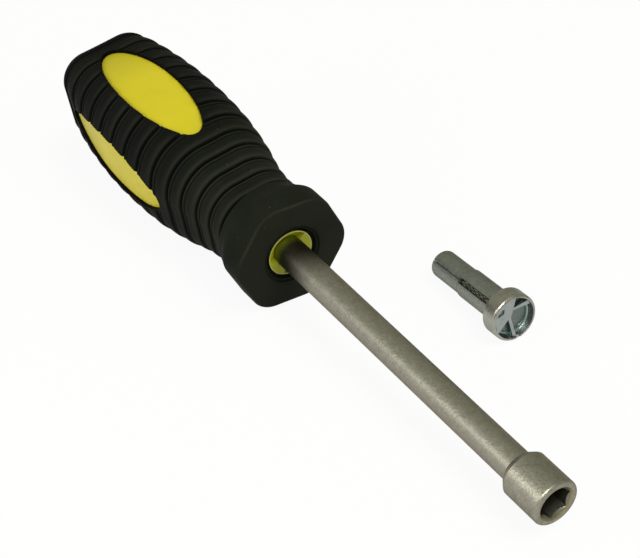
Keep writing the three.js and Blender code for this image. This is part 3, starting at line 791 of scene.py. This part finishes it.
# %% Zinc material
def zinc_material():
    """Plate outside and cup inside, where the raised parts turn to the floor's colour with depth."""
    material, tree, surface = new_material("bright_zinc_steel")
    along, radius, bar = on_axis(tree, pin_frame)
    patches = noise(tree, bar, 2, 5.0, Roughness=0.7)
    pits = noise(tree, bar, 0.8, 2.0)
    plate = ramp(tree, patches, [(0.3, "#8f8e84"), (0.7, "#afaea4")])
    raised = ramp(tree, patches, [(0.3, "#8f9692"), (0.7, "#a2a8a4")])
    # Painted shade on the cup's floor, and a painted reflection on its paler, bluest wall.
    floor_and_wall = turning_to(tree, linear("#6c7570"), "#93a6a5", radius, 4.9, 4.55)
    cup = turning_to(tree, raised, floor_and_wall, along, 30.6, 31.8)
    colour = turning_to(tree, plate, cup, radius, 5.4, 5.6)
    rough = add(tree, "MapRange", Value=patches, To_Min=0.3, To_Max=0.42).outputs["Result"]
    bump = bumps(tree, pits, 0.5)
    zinc = add(tree, "BsdfPrincipled", Base_Color=colour, Roughness=rough, Normal=bump, Metallic=1.0,
               Specular_Tint=linear("#c4c8c4"))
    tree.links.new(zinc.outputs["BSDF"], surface)
    return material


zinc_steel = zinc_material()
print("made", zinc_steel.name)

# %% [markdown]
# ## Knurled stem
# The pin's stem shows only through the sleeve's slot. It is knurled: two sets of slanted grooves cross and
# leave small diamonds, so its radius follows the product of two slanted waves.

# %% Stem
pin_columns = columns_round(144)
stem_core_radius, knurl_height, knurl_start = 2.62, 0.3, 12.4


def stem_grid():
    """Stem: radius = core + height * sqrt |sin(9 a + 1.5 x) * sin(9 a - 1.5 x)| where it is knurled."""
    places = np.concatenate([[0.5, 0.9], np.linspace(1.5, 27, 128), [27.4]])[:, None]
    waves = np.abs(np.sin(9 * pin_columns + 1.5 * places) * np.sin(9 * pin_columns - 1.5 * places))
    radii = stem_core_radius + knurl_height * np.sqrt(waves) * (places > knurl_start)
    return laid(pin_frame, places, pin_columns, radii)


stem = make_piece("knurled_stem", *closed_skin(stem_grid()), stem_steel, "pin")
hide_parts("cup_head")

# %% [markdown]
# ## Turned head
# The head is turned from the stem's bar: a drum with a rounded rim, and in it a cup whose flat floor has a
# thin ridge round it. All of that is one table of places and radii.

# %% Cup head
pin_length, head_length, head_radius, head_round = 32.4, 5.2, 6.25, 0.7
cup_radius, cup_depth, ridge_height = 5.5, 1.9, 0.1


def head_rows():
    """Rows of the turned head, from the middle of its back face to the middle of the cup."""
    back, floor = pin_length - head_length, pin_length - cup_depth
    profile = [(back, 1.5), (back, 5.55), (back + 0.05, 5.68), (back + 0.55, 6.2), (back + 0.7, head_radius)]
    profile += [(place, head_radius) for place in np.linspace(back + 1, pin_length - 0.9, 5)]
    for turn in np.linspace(0, np.pi / 2, 8)[1:]:
        place = pin_length - head_round * (1 - np.sin(turn))
        profile.append((place, head_radius - head_round * (1 - np.cos(turn))))
    profile += [(pin_length - 0.05, 5.49), (pin_length - 0.4, 5.4), (floor + 0.5, 5.2), (floor + 0.15, 5.0)]
    profile += [(floor + 0.04, 4.8), (floor, 4.6), (floor, 4.5), (floor + ridge_height, 4.44)]
    profile += [(floor + ridge_height, 4.3), (floor, 4.24), (floor, 3.5), (floor, 2)]
    return np.array(profile)


head_profile = head_rows()
head_grid = laid(pin_frame, head_profile[:, :1], pin_columns, head_profile[:, 1:])
cup_head = make_piece("cup_head_turned", *closed_skin(head_grid), zinc_steel, "pin", 25)

# %% [markdown]
# ## Cross, ledge, step and notch
# In the cup stands a raised cross with two thin arms and two wide ones, a ledge and a step fill part of one
# pocket, and the rim has one small notch. Each is an outline pushed along the pin's axis, then joined to the
# head or cut from it. The notch's outline is in millimetres and the others are in shares of the cup's radius.

# %% Cup's inside
cross_outline = [
    [-0.03, 0.39], [0.94, 0.47], [0.8, 0.67], [-0.01, 0.5], [0.14, 1.02], [-0.4, 0.96], [-0.51, 0.33],
    [-1.01, 0.17], [-0.83, -0.6], [-0.28, -0.02], [-0.02, -1.02], [0.15, -1.01], [-0.15, 0.02],
]
ledge_outline = [[-0.36, 0.96], [-0.45, 0.56], [-0.63, 0.56], [-0.77, 0.43], [-0.84, 0.2], [-0.98, 0.14],
                 [-0.8, 0.64]]
step_outline = [[-0.42, 0.6], [-0.66, 0.6], [-0.8, 0.46], [-0.88, 0.18], [-0.48, 0.3]]
cup_blocks = [("cup_cross", cross_outline, 0.5), ("cup_ledge", ledge_outline, 0.52),
              ("cup_step", step_outline, 0.95)]
notch_turn, notch_near, notch_far, notch_half_width, notch_depth = np.radians(-78), 4.6, 7.25, 0.55, 0.6


def extruded(outline, low, high):
    """Outline in side and up millimetres, pushed along the pin's axis from low to high, with whole ends."""
    start, axis, side, up = pin_frame
    flat = outline[:, :1] * side + outline[:, 1:] * up
    grid = (start + np.array([low, high])[:, None, None] * axis + flat[None]) * MM
    count = len(outline)
    here = np.arange(count)
    after = np.roll(here, -1)
    walls = np.stack([here, after, after + count, here + count], -1)
    return grid.reshape(-1, 3), [walls, here[None, ::-1], here[None] + count]


below_the_floor = pin_length - cup_depth - 0.3
for name, outline, depth in cup_blocks:
    block = extruded(cup_radius * np.array(outline), below_the_floor, pin_length - depth)
    combined(cup_head, make_piece(name, *block, zinc_steel, "pin"), "UNION")
notch_box = np.array([[notch_near, -notch_half_width], [notch_far, -notch_half_width],
                      [notch_far, notch_half_width], [notch_near, notch_half_width]])
spin = np.array([[np.cos(notch_turn), np.sin(notch_turn)], [-np.sin(notch_turn), np.cos(notch_turn)]])
notch = extruded(notch_box @ spin, pin_length - notch_depth, pin_length + 1)
combined(cup_head, make_piece("rim_notch", *notch, zinc_steel, "pin"), "DIFFERENCE")
cup_head.data.shade_smooth()
cup_head.data.set_sharp_from_angle(angle=np.radians(30))
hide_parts("cup_head")

# %% [markdown]
# ## Split sleeve
# The sleeve is a strip of spring steel rolled to a tube round the stem. Its edges nearly meet at the tip
# and stand apart nearer the head. One section is a letter C: out along the outer arc, across the edge and
# back along the inner arc. The gap and the radius depend on the place along the pin.

# %% Split sleeve
sleeve_profile = np.array([
    [0, 3.25, 2.925], [0.06, 3.43, 2.925], [0.25, 3.63, 2.925], [0.5, 3.71, 2.925],
    *[[place, 3.725, 2.925] for place in (1, 4, 8, 11.5)],
    [12, 3.74, 2.925], [12.22, 3.87, 3.06], [12.5, 4.0, 3.2], [12.501, 4.0, 3.2],
    *[[place, 4.025, 3.225] for place in (13, 16, 20, 24, 26.4, 26.9)],
])
seam_width, slot_width, slot_start, seam_turn, arc_points = 0.2, 1.6, 12.5, np.radians(145), 121


def sleeve_grid():
    """C-shaped section: angle from seam edge to seam edge outside, and back inside, at each place."""
    places, outer, inner = sleeve_profile.T[..., None]
    gap = np.where(places > slot_start, slot_width, seam_width)
    share = np.linspace(0, 1, arc_points)
    angles, radii = [], []
    for radius, way in ((outer, share), (inner, share[::-1])):
        edge = np.arcsin(gap / 2 / radius)
        angles.append(seam_turn + edge + (2 * np.pi - 2 * edge) * way)
        radii.append(np.repeat(radius, arc_points, 1))
    return laid(pin_frame, places, np.hstack(angles), np.hstack(radii))


def c_section_skin(grid):
    """Faces of a C-shaped tube: sides all round, and end caps between the outer and the inner arc."""
    rows, columns = grid.shape[:2]
    index = np.arange(rows * columns).reshape(rows, columns)
    caps = []
    for row, flip in ((index[0], True), (index[-1], False)):
        outside, inside = row[:arc_points], row[arc_points:][::-1]
        cap = np.stack([outside[:-1], outside[1:], inside[1:], inside[:-1]], -1)
        caps.append(cap[:, ::-1] if flip else cap)
    return grid.reshape(-1, 3), [grid_quads(index), *caps]


sleeve = make_piece("rolled_sleeve", *c_section_skin(sleeve_grid()), spring_steel, "pin")
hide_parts("split_sleeve")

# %% [markdown]
# ## White floor
# The real tools lie on a white sheet under soft light. To the camera and in reflections the floor is 93% a
# glow of strength 1 and 7% matt paper, which keeps a little of the shadow. To everything else it is plain
# paper, so the light on the tools comes from the lamps and the world.

# %% Floor
glow_share, floor_half_side, floor_drop = 0.93, 9, 0.02 * MM


def floor_material():
    """Paper mixed with glow: share = 0.93 * max(camera ray, glossy ray, transmission ray)."""
    material, tree, surface = new_material("white_sheet")
    rays = add(tree, "LightPath").outputs
    seen = add(tree, "Math", {"operation": "MAXIMUM"}, i0=rays["Is Camera Ray"], i1=rays["Is Glossy Ray"])
    seen = add(tree, "Math", {"operation": "MAXIMUM"}, i0=seen.outputs[0], i1=rays["Is Transmission Ray"])
    kept = add(tree, "Math", {"operation": "MULTIPLY"}, i0=seen.outputs[0], i1=glow_share)
    place = add(tree, "TexCoord").outputs["Object"]
    fibre = noise(tree, place, 1.5, 3.0)
    colour = ramp(tree, fibre, [(0.3, "#e9e9e7"), (0.7, "#eeeeec")])
    paper = add(tree, "BsdfDiffuse", Color=colour).outputs["BSDF"]
    white = add(tree, "Emission", Strength=1.0).outputs["Emission"]
    mixed = add(tree, "MixShader", Fac=kept.outputs[0])
    tree.links.new(paper, mixed.inputs[1])
    tree.links.new(white, mixed.inputs[2])
    tree.links.new(mixed.outputs["Shader"], surface)
    return material


corners = floor_half_side * np.array([[-1, -1, 0], [1, -1, 0], [1, 1, 0], [-1, 1, 0]], float)
floor_mesh = bpy.data.meshes.new("white_sheet")
floor_mesh.from_pydata((corners - [0, 0, floor_drop]).tolist(), [], [(0, 1, 2, 3)])
floor_mesh.materials.append(floor_material())
floor = bpy.data.objects.new("white_sheet", floor_mesh)
bpy.context.scene.collection.objects.link(floor)
print("floor", 2 * floor_half_side, "m square")

# %% [markdown]
# ## Lamps
# The picture shows soft light from above with one bright line along the shaft. A softbox low beside the
# shaft draws that line, a wide panel overhead lights the tops and one in front fills the collar's face. A
# lamp above the camera, seen in reflections alone, adds the glints on rounded rims. All four are ovals,
# whose reflections have no corners.

# %% Lamps and world
def panel(name, azimuth, elevation, distance, size, watts, glossy=True, diffuse=True, height=None):
    """Oval area lamp aimed at the tools, from a direction in degrees and a distance in metres."""
    az, el = np.radians(azimuth), np.radians(elevation)
    out = Vector((np.cos(el) * np.cos(az), np.cos(el) * np.sin(az), np.sin(el)))
    data = bpy.data.lights.new(name, "AREA")
    data.shape, data.size, data.size_y, data.energy = "ELLIPSE", size, height or size, watts
    lamp = bpy.data.objects.new(name, data)
    lamp.location = out * distance
    lamp.rotation_euler = (-out).to_track_quat("-Z", "Y").to_euler()
    lamp.visible_glossy, lamp.visible_diffuse = glossy, diffuse
    bpy.context.scene.collection.objects.link(lamp)


panel("overhead_panel", 20, 62, 1.2, 0.9, 9.0, glossy=False)
panel("front_panel", 5, 25, 1.2, 0.7, 1.5, glossy=False)
panel("low_softbox", -103, 24, 0.5, 0.18, 0.62)
panel("rim_light", -48, 48, 1.0, 0.5, 9.0, diffuse=False, height=0.25)

world = bpy.data.worlds.new("plain_grey_room")
bpy.context.scene.world = world
world.use_nodes = True
background = world.node_tree.nodes["Background"].inputs
background["Color"].default_value = linear("#b3b3a4")
background["Strength"].default_value = 1.0
bpy.context.scene.view_settings.view_transform = "Standard"
print("four lamps and a warm grey world")
